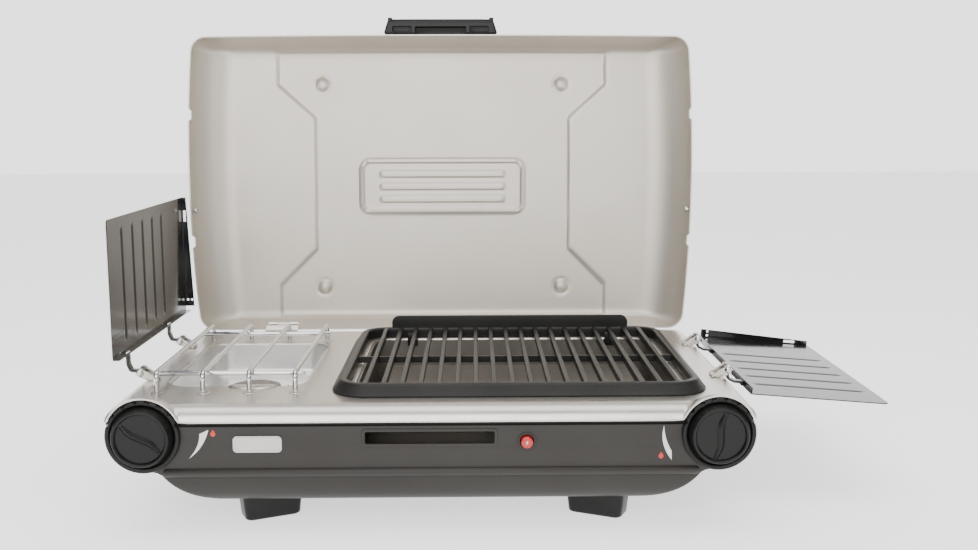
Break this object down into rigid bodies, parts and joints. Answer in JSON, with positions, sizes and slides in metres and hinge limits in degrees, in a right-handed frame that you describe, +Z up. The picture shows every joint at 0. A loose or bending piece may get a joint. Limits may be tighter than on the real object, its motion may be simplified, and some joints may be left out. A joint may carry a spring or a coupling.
{
  "type": "folding camp grill",
  "caption": "Low gas camp cooker with a pan burner, a ribbed grill grate, a hinged shell lid, fold-out side windscreens, front knobs and four feet.",
  "frame": {"origin": "centre of the base pan's flat underside, midway between the feet", "axes": "+X to the cook's right, +Y to the back, +Z up"},
  "size_m": [0.7835, 0.4828, 0.5153],
  "materials": {
    "lid_paint": "satin champagne metallic",
    "deck_steel": "satin",
    "base_paint": "matte dark grey",
    "black_enamel": "gloss black",
    "black_plastic": "satin",
    "cast_grate": "porcelain-coated",
    "chrome_wire": "bright",
    "well_aluminium": "polished",
    "inner_steel": "heat darkened",
    "gas_brass": "machined",
    "button_red": "gloss red",
    "plate_steel": "satin",
    "ceramic_white": "glazed ceramic"
  },
  "bodies": {
    "base": {"base_pan": "base_paint", "front_fascia": "base_paint", "name_plate": "plate_steel", "top_deck": "deck_steel", "stove_well": "well_aluminium", "stove_burner": "well_aluminium", "stove_burner_cap": "inner_steel", "stove_electrode": "ceramic_white", "stove_mixing_tube": "well_aluminium", "grill_basin": "inner_steel", "grill_burner": "inner_steel", "heat_plate": "inner_steel", "gas_manifold": "gas_brass", "gas_inlet": "gas_brass", "valve_left": "gas_brass", "valve_right": "gas_brass", "igniter_body": "black_plastic", "knob_bezel_left": "black_plastic", "knob_bezel_right": "black_plastic", "foot_front_left": "black_plastic", "foot_front_right": "black_plastic", "foot_rear_left": "black_plastic", "foot_rear_right": "black_plastic", "screen_bracket_left_front": "deck_steel", "screen_bracket_left_rear": "deck_steel", "screen_bracket_right_front": "deck_steel", "screen_bracket_right_rear": "deck_steel", "screen_bolt_left_front": "chrome_wire", "screen_bolt_left_rear": "chrome_wire", "screen_bolt_right_front": "chrome_wire", "screen_bolt_right_rear": "chrome_wire", "hinge_strap_left": "deck_steel", "hinge_strap_right": "deck_steel", "hinge_pin_left": "chrome_wire", "hinge_pin_right": "chrome_wire"},
    "lid": {"lid_shell": "lid_paint", "lid_handle": "black_plastic", "hinge_leaf_left": "deck_steel", "hinge_leaf_right": "deck_steel", "hook_pin_left": "chrome_wire", "hook_pin_right": "chrome_wire"},
    "latch": {"latch_bar": "black_plastic"},
    "left_screen": {"screen_left": "black_enamel", "arm_left_front": "black_enamel", "arm_left_rear": "black_enamel"},
    "right_screen": {"screen_right": "black_enamel", "arm_right_front": "black_enamel", "arm_right_rear": "black_enamel"},
    "stove_knob": {"knob_left": "black_plastic"},
    "grill_knob": {"knob_right": "black_plastic"},
    "igniter": {"igniter_button": "button_red"},
    "grate": {"grill_grate": "cast_grate"},
    "wire_rack": {"pan_support": "chrome_wire"}
  },
  "joints": [
    {"name": "lid_hinge", "type": "hinge", "parent": "base", "child": "lid", "pos_m": [0, 0.1965, 0.1055], "axis": [-1, 0, 0], "range_deg": [-94, 0]},
    {"name": "latch_hinge", "type": "hinge", "parent": "lid", "child": "latch", "pos_m": [0, 0.23647, 0.48363], "axis": [-1, 0, 0], "range_deg": [-182, 0]},
    {"name": "left_screen_pivot", "type": "hinge", "parent": "base", "child": "left_screen", "pos_m": [-0.303, 0, 0.1065], "axis": [0, -1, 0], "range_deg": [-86, 94.6]},
    {"name": "right_screen_pivot", "type": "hinge", "parent": "base", "child": "right_screen", "pos_m": [0.303, 0, 0.1065], "axis": [0, 1, 0], "range_deg": [-180.6, 0]},
    {"name": "stove_knob_turn", "type": "hinge", "parent": "base", "child": "stove_knob", "pos_m": [-0.271, -0.186, 0.07], "axis": [0, -1, 0], "range_deg": [0, 270]},
    {"name": "grill_knob_turn", "type": "hinge", "parent": "base", "child": "grill_knob", "pos_m": [0.271, -0.186, 0.07], "axis": [0, -1, 0], "range_deg": [0, 270]},
    {"name": "igniter_push", "type": "slide", "parent": "base", "child": "igniter", "axis": [0, 1, 0], "range_m": [0, 0.004], "stiffness_N_per_m": 600},
    {"name": "grate_lift", "type": "slide", "parent": "base", "child": "grate", "axis": [0, 0, 1], "range_m": [0, 0.15]},
    {"name": "pan_support_lift", "type": "slide", "parent": "base", "child": "wire_rack", "axis": [0, 0, 1], "range_m": [0, 0.15]}
  ]
}
